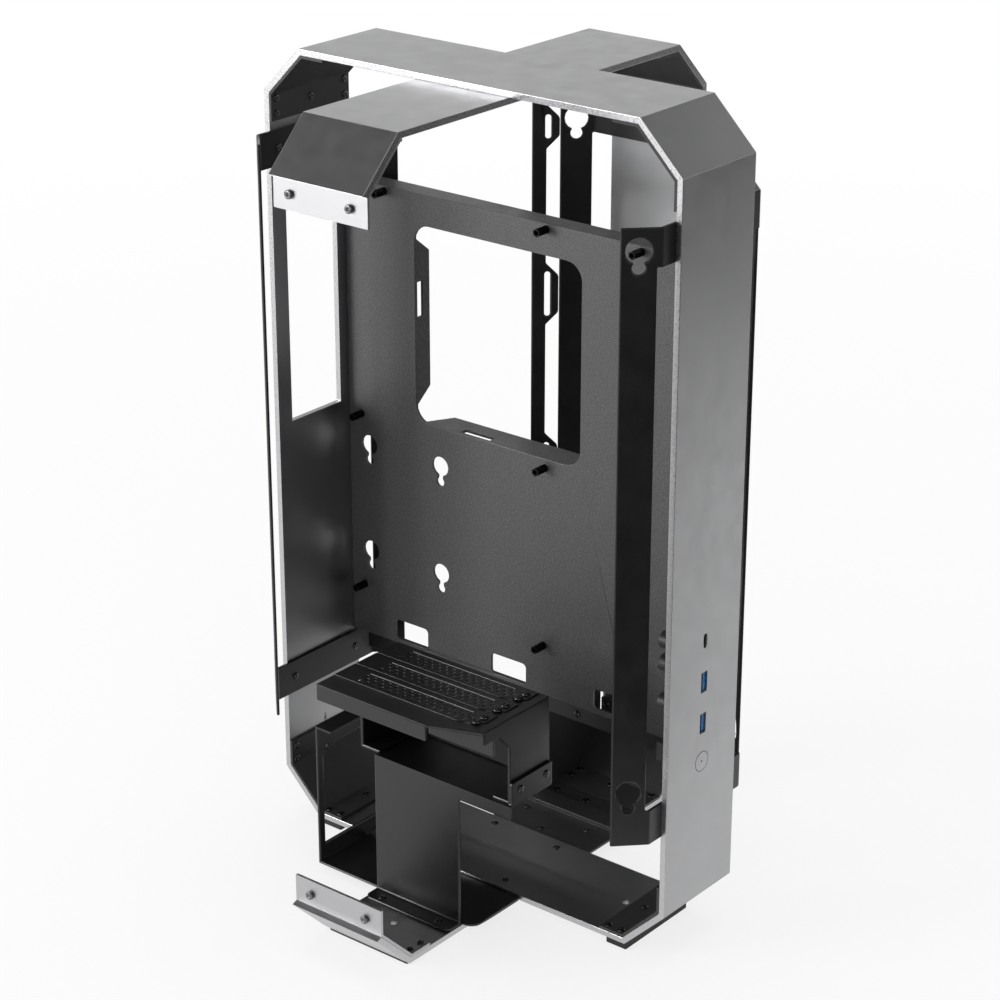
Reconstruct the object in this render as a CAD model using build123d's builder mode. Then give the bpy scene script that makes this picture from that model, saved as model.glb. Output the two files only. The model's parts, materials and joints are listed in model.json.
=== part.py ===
from build123d import *
import math
import os

os.makedirs("parts", exist_ok=True)

# Open tower PC case: two crossed aluminium loops, folded steel sheets inside.
# Front is -Y, the open near side is -X, up is +Z, and the pads stand on Z = 0.

# Aluminium loops
plate = 4.0                # thickness of the loop plates
loop_height = 533.0        # height of either loop
corner = 30.0              # each 45 degree corner, along both sides
main_depth = 319.0         # front to back over the main loop
main_width = 72.0          # width of the main loop's plates
cross_width = 327.0        # side to side over the cross loop
cross_band = 71.0          # width of the cross loop's plates
pad = 2.0                  # rubber pads under the cross loop
pad_width = 15.5           # width of all four pads
pad_side = 3.0             # edge of a plate to the end of its pad
pad_run = 0.8              # start of a corner bend to the pad's edge

# Joining plates in the corners
join_sheet = 2.0
join_tab = 19.8            # past each bend
join_rows = (5.5, 15.5)    # outer screw rows, from the bend
join_side = 4.5            # screw centre to the plate's edge
far_tab = 30.0             # longer flat tab in the far bottom corner
near_inset = 9.0           # near top plate's flat tab, narrower on each side
drain_hole = 2.3           # radius of the small hole beyond each bottom tab
drain_from = 25.5          # its distance from the bend

# Small screws
head_radius = 2.5
head_height = 0.9
head_sides = 8

# Steel sheet and its running gaps
sheet = 2.0
gap = 0.3

# Pins that the absent near cover hooks on
pin_across = 22.7
pin_neck_radius = 1.7
pin_head_radius = 2.7
pin_neck = 0.8
pin_head = 1.5

# Opening for the board's rear connectors
io_width = 47.0
io_height = 158.75
io_above_tray = 5.75       # opening's top, above the tray's
vent_slot = (1.6, 5.0)
vent_above_deck = 54.8

# Folded panel frames on three legs
arm_height = 23.5
arm_low = 86.0             # lower arm, above the deck
arm_below_top = 79.0       # loop's top to the upper arm's lower edge
arm_reach = 48.4           # centre line to the 45 degree fold
bar_width = 23.8           # fold to the bar's free edge
bar_relief = 2.6           # fold to the bar's inner edge, between the arms
bar_low = 86.0
bar_below_top = 55.5       # loop's top to the bars' top
key_radius = 7.7
key_neck = 6.0
key_lobe_radius = 3.9
key_drop = 10.0
key_top = 13.5             # upper keyhole, below the bar's top
key_bottom = 36.0          # lower keyhole, above the bar's bottom
key_sides = 16
arm_screw_across = 30.5

# Motherboard tray
tray_inset = 4.4           # main plate's edge to the tray's front face
tray_low = 111.0           # above the deck
tray_below_top = 100.0     # loop's top to the tray's
tray_flange = 13.0
window_rear = 59.0         # tray's rear edge to the window
window_width = 135.0
window_height = 134.4
window_below_top = 20.6
window_radius = 12.0
window_tab = 13.0
window_sill = 18.5         # depth of the tab under the window
tab_slope = 10.5           # each end of a tab, along both sides
tie_slot = (5.4, 24.0)
tie_edge = 3.6             # tray's back to the slot's middle
tie_rise = 15.2            # slot in the upright tab, above the window's middle
tie_sill = 19.5            # slot in the sill, behind the window's middle
drive_key_radius = 6.7
drive_key_neck = 4.5
drive_key_lobe = 3.15
drive_key_drop = 11.0
drive_pitch = (61.7, 76.8) # across and up between the drive keyholes
drive_rear = 17.5          # tray's rear edge to the rear keyholes
drive_below_top = 182.3
cable_cut = (29.0, 14.5)
cable_cut_radius = 3.0
cable_cut_sill = 3.0
cable_cuts = (103.0, 18.6, -66.0)
notch = (11.5, 12.0)

# Stand-offs on the board's own hole pattern
standoff_height = 10.0
standoff_flats = 5.0
standoff_bore = 1.5
board_rear = 11.2          # tray's rear edge to the first column
board_top = 3.8            # tray's top edge to the first row
board_columns = (0.0, 22.86, 154.94, 227.33)
board_rows = (0.0, 157.48, 281.94)

# Rail along the tray's lower edge
rail_drop = 12.0           # below the tray
rail_foot = 14.0
rail_screw_rows = (115.0, 39.0, -37.0, -113.0)

# Slot box that holds the graphics card
slot_pitch = 20.32
slots = 3
cover_sheet = 0.8
cover_gap = 0.9
cover_corner = 8.0
slot_top = 160.0           # cover's top face, above the deck
box_near = 120.5           # near edge of the box's top, from the centre plane
box_far = 42.3
box_rear = 50.0
box_front = 74.0
lip_height = 11.2
lip_end = 39.5
ear_corner = 107.0
ear_height = 8.7
wall_near = 82.0
wall_rear = 46.5
wall_chamfer = 10.5
inner_lip = 95.5
inner_lip_height = 22.0
inner_lip_start = 20.0
box_foot = 12.0
vent_radius = 1.5
vent_pitch = 6.0
vent_rows = 3.6
vents = 15
rib = (1.0, 0.5)           # width and height of the raised rib beside the vents
vent_shift = 2.0           # vents sit off the cover's middle
cover_screw_radius = 2.8
cover_screw_height = 1.6
cover_screw_step = 7.5

# Panel that carries the slot box
panel_face = 84.5          # its outer face, from the centre plane
panel_inset = 0.5          # narrower than the cross plate on each side
shelf_height = 100.0       # shelf's top, above the deck
band_height = 9.5
shelf_tab = 15.0
foot_reach = 12.0
foot_corner = 3.0
foot_screw_across = 23.5
tab_screws = (73.5, 48.0)

# Cage that holds the power supply
psu_width = 150.0
cage_wall = 88.0           # rear face of the wall
cage_height = 102.0
cage_step = 7.0            # lower beyond the tray rail
cage_flange = 14.0
cage_window = (139.0, 71.0)
cage_window_sill = 14.0
cage_window_chamfer = (12.7, 7.0)
cage_front = 45.0
cage_radius = 8.0
cage_screw_hole = 1.9

# Floor plate on the far side
floor_rib = (70.0, 86.0)
floor_rib_height = 3.0
floor_screw_rows = {44.0: (0,), 61.3: (-1, 1)}
floor_screw_edge = 9.2     # last row of screws to the plate's far edge
floor_screw_across = 26.0
shield_drop = 1.0          # tray rail's lower edge to the shield's top
shield_clear = 2.5         # shield's end to the far leg

# Slotted rail for a radiator, set at 45 degrees
rad_left = 32.4
rad_width = 9.4
rad_ear = 8.4
rad_slot = 3.8
rad_slot_at = 42.8
rad_pitch = 112.5
rad_below_top = 178.0      # loop's top to the middle slot
rad_short = 15.7
rad_long = 30.4
rad_ear_short = 6.0
rad_ear_long = 12.5
rad_length = 292.0
rad_hang = 19.0            # loop's top to the rail's top, which hides under the cross plate
rad_seat = 22.0            # its foot under the plate, from the middle
rad_arm = 13.0

# Front ports and the power button
usb_c = (3.4, 9.4)
usb_c_height = 207.0
usb_a = (6.0, 13.4)
usb_a_heights = (179.2, 151.2)
port_wall = 0.4
port_depth = 14.0
port_recess = 0.8
tongue = (2.8, 11.6)
tongue_recess = 0.3
board_sheet = 1.6
board_depth = 26.0
button_height = 125.0
button_radius = 6.25
button_travel = 1.0
button_dimple = 0.7
button_stem = 4.0
collar = 1.0
collar_edge = 1.6
holder_half = 13.0         # holder beyond the button's and the upper port's middles
holder_near = 31.0
knob_radius = 5.5
knob_height = 7.0
knob_heights = (214.0, 199.0, 173.0)
knob_sides = 12

deck = pad + plate
main_half = main_depth / 2
main_inner = main_half - plate
main_side = main_width / 2
main_low = deck
main_high = deck + loop_height
cross_half = cross_width / 2
cross_inner = cross_half - plate
cross_side = cross_band / 2
cross_low = pad
cross_high = pad + loop_height
tray_x = main_side - tray_inset
mitre = math.tan(math.radians(22.5))
diagonal = math.sqrt(0.5)
arm_high = loop_height - arm_below_top
bar_high = loop_height - bar_below_top
tray_high = loop_height - tray_below_top
io_low = tray_high + io_above_tray - io_height


# Helpers
def block(low, high, mode=Mode.ADD):
    """Adds or cuts the box between two opposite corners."""
    with Locations(tuple((a + b) / 2 for a, b in zip(low, high))):
        Box(*[abs(b - a) for a, b in zip(low, high)], mode=mode)


def prism(plane, points, depth, mode=Mode.ADD):
    """Pushes a closed outline out of its plane."""
    with BuildSketch(plane) as outline:
        with BuildLine():
            Polyline(*points, close=True)
        make_face()
    extrude(outline.sketch, amount=depth, mode=mode)


def keyhole(plane, middle, radius, neck, lobe, drop):
    """Cuts a round hole with a narrower hole hanging below it."""
    x, z = middle
    with BuildSketch(plane) as hole:
        with Locations((x, z)):
            RegularPolygon(radius, key_sides)
        with Locations((x, z - drop)):
            RegularPolygon(lobe, key_sides)
        with Locations((x, z - drop / 2)):
            Rectangle(neck, drop)
    extrude(hole.sketch, amount=2 * sheet, both=True, mode=Mode.SUBTRACT)


def heads(centres, normal, radius=head_radius, height=head_height, sides=head_sides):
    """Adds flat-sided heads that stand on a face with this normal."""
    for centre in centres:
        seat = Plane(origin=centre, z_dir=normal)
        with BuildSketch(seat) as rim:
            RegularPolygon(radius, sides)
        extrude(rim.sketch, amount=height)


def disc(centre, normal, radius, height):
    """Adds a round disc that stands on a face with this normal."""
    with BuildSketch(Plane(origin=centre, z_dir=normal)) as rim:
        Circle(radius)
    extrude(rim.sketch, amount=height)


def ring(half, low, high, depth):
    """Corners of a loop at a depth below its outer face, from one leg's foot round over the top."""
    k = corner + depth * mitre
    a = half - depth
    low_in, high_in = low + depth, high - depth
    return [(a, low + k), (a, high - k), (half - k, high_in), (k - half, high_in),
            (-a, high - k), (-a, low + k), (k - half, low_in), (half - k, low_in)]


def loop_piece(plane, width, half, low, high, stretch):
    """One plate of a loop: the named stretch of the ring."""
    corners = {"top": [1, 2, 3, 4], "bottom": [5, 6, 7, 0], "far leg": [0, 1], "near leg": [4, 5]}[stretch]
    outer = ring(half, low, high, 0)
    inner = ring(half, low, high, plate)
    points = [outer[n] for n in corners] + [inner[n] for n in reversed(corners)]
    prism(plane.offset(-width / 2), points, width)


def joiner(plane, width, half, low, high, side, top, flat_tab=join_tab):
    """A folded plate inside one corner, with a tab on each of the two plates it joins."""
    outer = ring(half, low, high, plate)
    inner = ring(half, low, high, plate + join_sheet)
    tip = high - corner - join_tab
    end = half - corner - flat_tab
    points = [(half - plate, tip), outer[1], outer[2], (end, high - plate),
              (end, high - plate - join_sheet), inner[2], inner[1], (half - plate - join_sheet, tip)]
    placed = [(side * u, z if top else low + high - z) for u, z in points]
    prism(plane.offset(-width / 2), placed, width)


def join_pattern(width):
    """Screw centres on one tab: across the plate, and from the bend."""
    across = width / 2 - join_side
    return [(s * across, run) for s in (-1, 1) for run in join_rows] + [(0, sum(join_rows) / 2)]


# Main loop
with BuildPart() as main_loop_top:
    loop_piece(Plane.YZ, main_width, main_half, main_low, main_high, "top")
main_loop_top.part.label = "main_loop_top"

with BuildPart() as main_loop_bottom:
    loop_piece(Plane.YZ, main_width, main_half, main_low, main_high, "bottom")
    with Locations([(0, s * (main_half - corner - drain_from), main_low) for s in (-1, 1)]):
        Cylinder(drain_hole, 4 * plate, mode=Mode.SUBTRACT)
main_loop_bottom.part.label = "main_loop_bottom"

with BuildPart() as main_rear_leg:
    loop_piece(Plane.YZ, main_width, main_half, main_low, main_high, "far leg")
    block((-io_width / 2, main_inner - plate, deck + io_low),
          (io_width / 2, main_half + plate, deck + io_low + io_height), Mode.SUBTRACT)
    block((-vent_slot[0] / 2, main_inner - plate, deck + vent_above_deck - vent_slot[1] / 2),
          (vent_slot[0] / 2, main_half + plate, deck + vent_above_deck + vent_slot[1] / 2), Mode.SUBTRACT)
main_rear_leg.part.label = "main_rear_leg"

with BuildPart() as main_front_leg:
    loop_piece(Plane.YZ, main_width, main_half, main_low, main_high, "near leg")
    with BuildSketch(Plane.XZ.offset(main_inner)) as ports:
        with Locations((0, deck + usb_c_height)):
            RectangleRounded(usb_c[0], usb_c[1], usb_c[0] * 0.49)
        with Locations([(0, deck + z) for z in usb_a_heights]):
            Rectangle(*usb_a)
        with Locations((0, deck + button_height)):
            Circle(button_radius + gap)
    extrude(ports.sketch, amount=plate, mode=Mode.SUBTRACT)
main_front_leg.part.label = "main_front_leg"

# Cross loop, open on the near side
with BuildPart() as cross_loop_top:
    loop_piece(Plane.XZ, cross_band, cross_half, cross_low, cross_high, "top")
cross_loop_top.part.label = "cross_loop_top"

with BuildPart() as cross_loop_bottom:
    loop_piece(Plane.XZ, cross_band, cross_half, cross_low, cross_high, "bottom")
    with Locations((corner + drain_from - cross_half, 0, cross_low)):
        Cylinder(drain_hole, 4 * plate, mode=Mode.SUBTRACT)
cross_loop_bottom.part.label = "cross_loop_bottom"

with BuildPart() as cross_far_leg:
    loop_piece(Plane.XZ, cross_band, cross_half, cross_low, cross_high, "far leg")
cross_far_leg.part.label = "cross_far_leg"

# Joining plates
with BuildPart() as join_rear_top:
    joiner(Plane.YZ, main_width, main_half, main_low, main_high, 1, True)
join_rear_top.part.label = "join_rear_top"

with BuildPart() as join_rear_bottom:
    joiner(Plane.YZ, main_width, main_half, main_low, main_high, 1, False)
join_rear_bottom.part.label = "join_rear_bottom"

with BuildPart() as join_front_top:
    joiner(Plane.YZ, main_width, main_half, main_low, main_high, -1, True)
join_front_top.part.label = "join_front_top"

with BuildPart() as join_front_bottom:
    joiner(Plane.YZ, main_width, main_half, main_low, main_high, -1, False)
join_front_bottom.part.label = "join_front_bottom"

with BuildPart() as join_far_top:
    joiner(Plane.XZ, cross_band, cross_half, cross_low, cross_high, 1, True)
join_far_top.part.label = "join_far_top"

with BuildPart() as join_far_bottom:
    joiner(Plane.XZ, cross_band, cross_half, cross_low, cross_high, 1, False, far_tab)
join_far_bottom.part.label = "join_far_bottom"

with BuildPart() as join_near_top:
    joiner(Plane.XZ, cross_band, cross_half, cross_low, cross_high, -1, True)
    for side in (-1, 1):
        block((corner + plate - cross_half, side * (cross_side - near_inset), cross_high - 2 * plate),
              (corner + 2 * join_tab - cross_half, side * cross_side, cross_high), Mode.SUBTRACT)
join_near_top.part.label = "join_near_top"

with BuildPart() as join_near_bottom:
    joiner(Plane.XZ, cross_band, cross_half, cross_low, cross_high, -1, False)
join_near_bottom.part.label = "join_near_bottom"

# Screws of the joining plates
join_depth = plate + join_sheet
with BuildPart() as join_screws:
    for across, run in join_pattern(main_width):
        for side in (-1, 1):
            y = side * (main_half - corner - run)
            heads([(across, y, main_low + join_depth)], (0, 0, 1))
            heads([(across, y, main_high - join_depth)], (0, 0, -1))
            wall = side * (main_half - join_depth)
            levels = (main_low + corner + run, main_high - corner - run)
            heads([(across, wall, level) for level in levels], (0, -side, 0))
    for across, run in join_pattern(cross_band):
        for side in (-1, 1):
            heads([(side * (cross_half - corner - run), across, cross_low + join_depth)], (0, 0, 1))
        heads([(cross_half - corner - run, across, cross_high - join_depth)], (0, 0, -1))
        wall = cross_half - join_depth
        levels = (cross_low + corner + run, cross_high - corner - run)
        heads([(wall, across, level) for level in levels], (-1, 0, 0))
    for across, run in join_pattern(cross_band - 2 * near_inset):
        heads([(corner + run - cross_half, across, cross_high - join_depth)], (0, 0, -1))
join_screws.part.label = "join_screws"

with BuildPart() as cover_pins:
    for level in (cross_low + corner + join_tab / 2, cross_high - corner - join_tab / 2):
        for side in (-1, 1):
            root = (-cross_inner, side * pin_across, level)
            tip = (-cross_inner - pin_neck, side * pin_across, level)
            heads([root], (-1, 0, 0), pin_neck_radius, pin_neck, knob_sides)
            heads([tip], (-1, 0, 0), pin_head_radius, pin_head, knob_sides)
cover_pins.part.label = "cover_pins"

# Screws through the two crossings
cross_x = main_side - 2 * join_side
cross_y = cross_side - 2 * join_side
crossing = [(sx * cross_x, sy * cross_y) for sx in (-1, 1) for sy in (-1, 1)]
with BuildPart() as crossing_screws:
    heads([(x, y, main_low + plate) for x, y in crossing], (0, 0, 1))
    heads([(x, y, cross_high - plate) for x, y in crossing], (0, 0, -1))
crossing_screws.part.label = "crossing_screws"

# Folded panel frames
fold_in = sheet * mitre
bar_run = bar_width * diagonal
bar_skin = sheet * diagonal


def panel_frame(turn, inner):
    """Two arms across a leg's inner face, folded 45 degrees into two upright bars with keyholes."""
    a, b = (arm_reach, inner), (arm_reach + bar_run, inner - bar_run)
    c, d = (b[0] - bar_skin, b[1] - bar_skin), (arm_reach - fold_in, inner - sheet)
    e = (a[0] + bar_relief * diagonal, a[1] - bar_relief * diagonal)
    for side in (-1, 1):
        plan = [turn(side * u, v) for u, v in (e, b, c, (e[0] - bar_skin, e[1] - bar_skin))]
        prism(Plane.XY.offset(deck + bar_low), plan, bar_high - bar_low)
    outline = [(-u, v) for u, v in (c, b, a)] + [a, b, c, d] + [(-d[0], d[1])]
    for level in (arm_low, arm_high):
        prism(Plane.XY.offset(deck + level), [turn(u, v) for u, v in outline], arm_height)
    for side in (-1, 1):
        x, y = turn(side * (e[0] + b[0]) / 2, (e[1] + b[1]) / 2)
        nx, ny = turn(side, 1)
        face = Plane(origin=(x, y, deck), x_dir=(-ny, nx, 0), z_dir=(nx, ny, 0))
        for level in (bar_high - key_top, bar_low + key_bottom):
            keyhole(face, (0, level), key_radius, key_neck, key_lobe_radius, key_drop)


def to_rear(u, v):
    """Across and outwards from the main loop's rear leg."""
    return (u, v)


def to_front(u, v):
    """Across and outwards from the main loop's front leg."""
    return (u, -v)


def to_far(u, v):
    """Across and outwards from the cross loop's leg."""
    return (v, u)


with BuildPart() as frame_rear:
    panel_frame(to_rear, main_inner)
frame_rear.part.label = "frame_rear"

with BuildPart() as frame_front:
    panel_frame(to_front, main_inner)
frame_front.part.label = "frame_front"

with BuildPart() as frame_far:
    panel_frame(to_far, cross_inner)
frame_far.part.label = "frame_far"

with BuildPart() as frame_screws:
    for turn, inner in ((to_rear, main_inner), (to_front, main_inner), (to_far, cross_inner)):
        nx, ny = turn(0, -1)
        for level in (arm_low, arm_high):
            for side in (-1, 1):
                x, y = turn(side * arm_screw_across, inner - sheet)
                heads([(x, y, deck + level + arm_height / 2)], (nx, ny, 0))
frame_screws.part.label = "frame_screws"

# Motherboard tray with its window, keyholes and folded edges
tray_bottom = deck + tray_low
tray_top = deck + tray_high
tray_back = tray_x + sheet
window_back = main_inner - window_rear
window_front = window_back - window_width
window_top = tray_top - window_below_top
window_bottom = window_top - window_height
tab_short = window_width * 0.42
with BuildPart() as motherboard_tray:
    with BuildSketch(Plane.YZ.offset(tray_x)) as face:
        with Locations((0, (tray_top + tray_bottom) / 2)):
            Rectangle(2 * main_inner, tray_top - tray_bottom)
        with Locations(((window_back + window_front) / 2, (window_top + window_bottom) / 2)):
            RectangleRounded(window_width, window_height, window_radius, mode=Mode.SUBTRACT)
        with Locations([(y, tray_bottom + cable_cut_sill + cable_cut[1] / 2) for y in cable_cuts]):
            RectangleRounded(*cable_cut, cable_cut_radius, mode=Mode.SUBTRACT)
    extrude(face.sketch, amount=sheet)
    for n in range(2):
        for m in range(2):
            y = main_inner - drive_rear - n * drive_pitch[0]
            z = tray_top - drive_below_top - m * drive_pitch[1]
            keyhole(Plane.YZ.offset(tray_x), (y, z), drive_key_radius, drive_key_neck,
                    drive_key_lobe, drive_key_drop)
    block((tray_back, -main_inner + notch[0], tray_top - sheet),
          (tray_back + tray_flange, main_inner - notch[0], tray_top))
    tab_edge = tray_back + window_tab
    upright = [(tray_back, window_bottom + tab_slope), (tray_back, window_top - tab_slope),
               (tab_edge, window_top - 2 * tab_slope), (tab_edge, window_bottom + 2 * tab_slope)]
    prism(Plane.XZ.offset(-window_back - sheet), upright, sheet)
    sill_edge = tray_back + window_sill
    lower = [(tray_back, window_front + window_radius), (tray_back, window_back - tab_slope / 2),
             (sill_edge, window_back - 1.5 * tab_slope), (sill_edge, window_front + window_radius)]
    prism(Plane.XY.offset(window_bottom - sheet), lower, sheet)
    block((tray_back, window_front + window_radius, window_top),
          (tray_back + window_tab, window_front + window_radius + tab_short, window_top + sheet))
    block((tray_back, window_back - 2 * window_radius - tie_slot[1] / 2, window_top),
          (tray_back + window_tab, window_back - window_radius, window_top + sheet))
    tie_x = tray_back + tie_edge
    with Locations((tie_x, window_back + sheet, (window_top + window_bottom) / 2 + tie_rise)):
        Box(tie_slot[0], 4 * sheet, tie_slot[1], mode=Mode.SUBTRACT)
    with Locations((tie_x, (window_front + window_back) / 2 + tie_sill, window_bottom - sheet / 2)):
        Box(tie_slot[0], tie_slot[1], 2 * sheet, mode=Mode.SUBTRACT)
motherboard_tray.part.label = "motherboard_tray"

# Rail behind the tray's lower edge
rail_x = tray_back + sheet
rail_low = tray_bottom - rail_drop
rail_end = main_inner - notch[0]
with BuildPart() as tray_rail:
    block((tray_back, -rail_end, rail_low), (rail_x, rail_end, tray_bottom + cable_cut_sill))
    block((rail_x, -rail_end, rail_low), (rail_x + rail_foot, rail_end, rail_low + sheet))
tray_rail.part.label = "tray_rail"

with BuildPart() as rail_screws:
    heads([(tray_back, y, tray_bottom - rail_drop / 2) for y in rail_screw_rows], (-1, 0, 0))
rail_screws.part.label = "rail_screws"

# Stand-offs
with BuildPart() as standoffs:
    for column in board_columns:
        for row in board_rows:
            if (column == board_columns[1]) == (row == board_rows[0]) or column in board_columns[2:]:
                y = main_inner - board_rear - column
                seat = Plane(origin=(tray_x, y, tray_top - board_top - row), z_dir=(-1, 0, 0))
                with BuildSketch(seat) as hexagon:
                    RegularPolygon(standoff_flats / 2, 6, major_radius=False)
                    Circle(standoff_bore, mode=Mode.SUBTRACT)
                extrude(hexagon.sketch, amount=standoff_height)
standoffs.part.label = "standoffs"

# Slot box: top with three open slots, two walls, a far wall, lips and feet
shelf = deck + shelf_height
box_top = deck + slot_top - cover_sheet
near, far = -box_near, -box_far
slot_middles = [far - cover_gap * 2 - slot_pitch * (n + 0.5) for n in range(slots)]
cover_length = box_rear + box_front - 6 * cover_gap
vent_run = vent_pitch * (vents - 1)
vent_mid = (box_rear - box_front) / 2 + 1.5 * cover_gap
with BuildPart() as slot_box:
    prism(Plane.XY.offset(box_top - sheet),
          [(near, box_rear), (far, box_rear), (far, -box_front), (-ear_corner, -box_front),
           (near + cover_gap, -lip_end - 2 * cover_gap), (near, -lip_end)], sheet)
    for x in slot_middles:
        block((x - slot_pitch * 0.36, vent_mid - vent_run / 2 - vent_pitch, box_top - 2 * sheet),
              (x + slot_pitch * 0.36, vent_mid + vent_run / 2 + vent_pitch, box_top + sheet), Mode.SUBTRACT)
    block((near, -lip_end, box_top - lip_height), (near + sheet, box_rear, box_top))
    ear_low = box_top - ear_height
    front_wall = [(-ear_corner, box_top), (far, box_top), (far, shelf), (-wall_near, shelf),
                  (-wall_near, ear_low - wall_chamfer), (-wall_near - wall_chamfer, ear_low),
                  (-ear_corner, ear_low)]
    prism(Plane.XZ.offset(box_front - sheet), front_wall, sheet)
    block((-wall_near, wall_rear, shelf), (far, wall_rear + sheet, box_top))
    block((far - sheet, -box_front, shelf), (far, wall_rear + sheet, box_top))
    block((-wall_near, sheet - box_front, shelf), (far, sheet - box_front + box_foot, shelf + sheet))
    block((-wall_near, cross_side - 1.5 * sheet, shelf), (far, wall_rear, shelf + sheet))
    block((-inner_lip, sheet - box_front, box_top - inner_lip_height),
          (sheet - inner_lip, -inner_lip_start, box_top))
slot_box.part.label = "slot_box"

# Slot covers with rows of vents and a raised rib
cover_half = slot_pitch / 2 - cover_gap / 2
cover_back = box_rear - cover_gap
cover_front = cover_back - cover_length + 3 * cover_gap
covers = []
for n, x in enumerate(slot_middles):
    with BuildPart() as slot_cover:
        near_edge, far_edge = x - cover_half, x + cover_half
        blank = [(near_edge, cover_back), (far_edge, cover_back), (far_edge, cover_front),
                 (near_edge + cover_corner, cover_front), (near_edge, cover_front + 2 * cover_corner)]
        prism(Plane.XY.offset(box_top), blank, cover_sheet)
        with BuildSketch(Plane.XY.offset(box_top)) as vent_field:
            for row in range(3):
                offset = (row - 1) * vent_rows - vent_shift
                shift = (row % 2) * vent_pitch / 2
                first = vent_mid - vent_run / 2 - shift
                with Locations([(x + offset, first + k * vent_pitch) for k in range(vents)]):
                    RegularPolygon(vent_radius, 6, rotation=30)
        extrude(vent_field.sketch, amount=cover_sheet, mode=Mode.SUBTRACT)
        rib_x = x + vent_rows + 2 * vent_radius - vent_shift + rib[0]
        block((rib_x - rib[0], vent_mid - vent_run / 2, box_top + cover_sheet),
              (rib_x, vent_mid + vent_run / 2, box_top + cover_sheet + rib[1]))
    slot_cover.part.label = f"slot_cover_{n + 1}"
    covers.append(slot_cover.part)

with BuildPart() as slot_screws:
    for x in slot_middles:
        y = cover_front + cover_corner * 0.6
        spots = [(x - k * cover_screw_step, y, box_top + cover_sheet) for k in (-0.4, 0.6)]
        heads(spots, (0, 0, 1), cover_screw_radius, cover_screw_height)
slot_screws.part.label = "slot_screws"

# Panel, shelf and foot that carry the slot box
leg = cross_side - panel_inset
outer, inner = -panel_face, sheet - panel_face
with BuildPart() as support_panel:
    block((outer, -leg, deck), (inner, leg, shelf))
    block((outer, -box_front - sheet, shelf - band_height), (inner, -leg, shelf))
    block((outer, -box_front - sheet, shelf - sheet), (far, leg, shelf))
    block((outer + sheet, -box_front - sheet, shelf), (far, -box_front, shelf + shelf_tab))
    toe = outer - foot_reach
    foot = [(outer, leg), (toe + foot_corner, leg), (toe, leg - foot_corner),
            (toe, foot_corner - leg), (toe + foot_corner, -leg), (outer, -leg)]
    prism(Plane.XY.offset(deck), foot, sheet)
support_panel.part.label = "support_panel"

with BuildPart() as support_screws:
    heads([(outer - foot_reach * 0.6, s * foot_screw_across, deck + sheet) for s in (-1, 1)], (0, 0, 1))
    heads([(-x, -box_front - sheet, shelf + shelf_tab * 0.55) for x in tab_screws], (0, -1, 0))
support_screws.part.label = "support_screws"

# Power supply cage: a wall with a window, a top flange and a floor
cage_near = inner
cage_far = inner + psu_width
cage_top = deck + cage_height
floor_edge = -main_side - gap
low_far = main_low + plate
with BuildPart() as psu_cage:
    step_x = tray_x - gap
    wall = [(cage_near, deck), (floor_edge, deck), (floor_edge, low_far), (cage_far, low_far),
            (cage_far, cage_top - cage_step), (step_x, cage_top - cage_step), (step_x, cage_top),
            (cage_near, cage_top)]
    prism(Plane.XZ.offset(-cage_wall), wall, sheet)
    window_x = ((cage_near + cage_far) - cage_window[0]) / 2
    sill = deck + cage_window_sill
    cut_x, cut_z = cage_window_chamfer
    lintel = sill + cage_window[1]
    hole = [(window_x, sill), (window_x + cage_window[0], sill), (window_x + cage_window[0], lintel),
            (window_x + cut_x, lintel), (window_x, lintel - cut_z)]
    prism(Plane.XZ.offset(-cage_wall), hole, sheet, Mode.SUBTRACT)
    block((cage_near, cage_wall - cage_flange, cage_top - sheet), (step_x, cage_wall, cage_top))
    block((cage_near, -cage_front, deck), (floor_edge, cage_wall, deck + sheet))
    corner_edge = psu_cage.edges().filter_by(Axis.Z).sort_by_distance((cage_near, -cage_front, deck))[0]
    fillet(corner_edge, cage_radius)
    with Locations(Plane.XZ.offset(-cage_wall)):
        with Locations((window_x + 0.2 * cut_x, lintel - 0.1 * cut_z)):
            Cylinder(cage_screw_hole, 4 * sheet, mode=Mode.SUBTRACT)
psu_cage.part.label = "psu_cage"

# Far floor plate with its raised rib and the upright shield behind it
floor_back = cross_side + sheet
floor_far = cross_half - corner - far_tab - gap
rib_top = deck + sheet + floor_rib_height
with BuildPart() as far_floor:
    block((-floor_edge, -cage_front, deck), (floor_far, floor_back, deck + sheet))
    block((floor_rib[0], -cage_front, deck + sheet), (floor_rib[1], floor_back, rib_top))
    block((floor_rib[0] + sheet, -cage_front - sheet, deck),
          (floor_rib[1] - sheet, floor_back, rib_top - sheet), Mode.SUBTRACT)
    block((floor_rib[1], cross_side, deck), (cross_inner - shield_clear, floor_back, rail_low - shield_drop))
far_floor.part.label = "far_floor"

with BuildPart() as floor_screws:
    for x, rows in [*floor_screw_rows.items(), (floor_far - floor_screw_edge, (-1, 0, 1))]:
        heads([(x, y * floor_screw_across, deck + sheet) for y in rows], (0, 0, 1))
floor_screws.part.label = "floor_screws"

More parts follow.
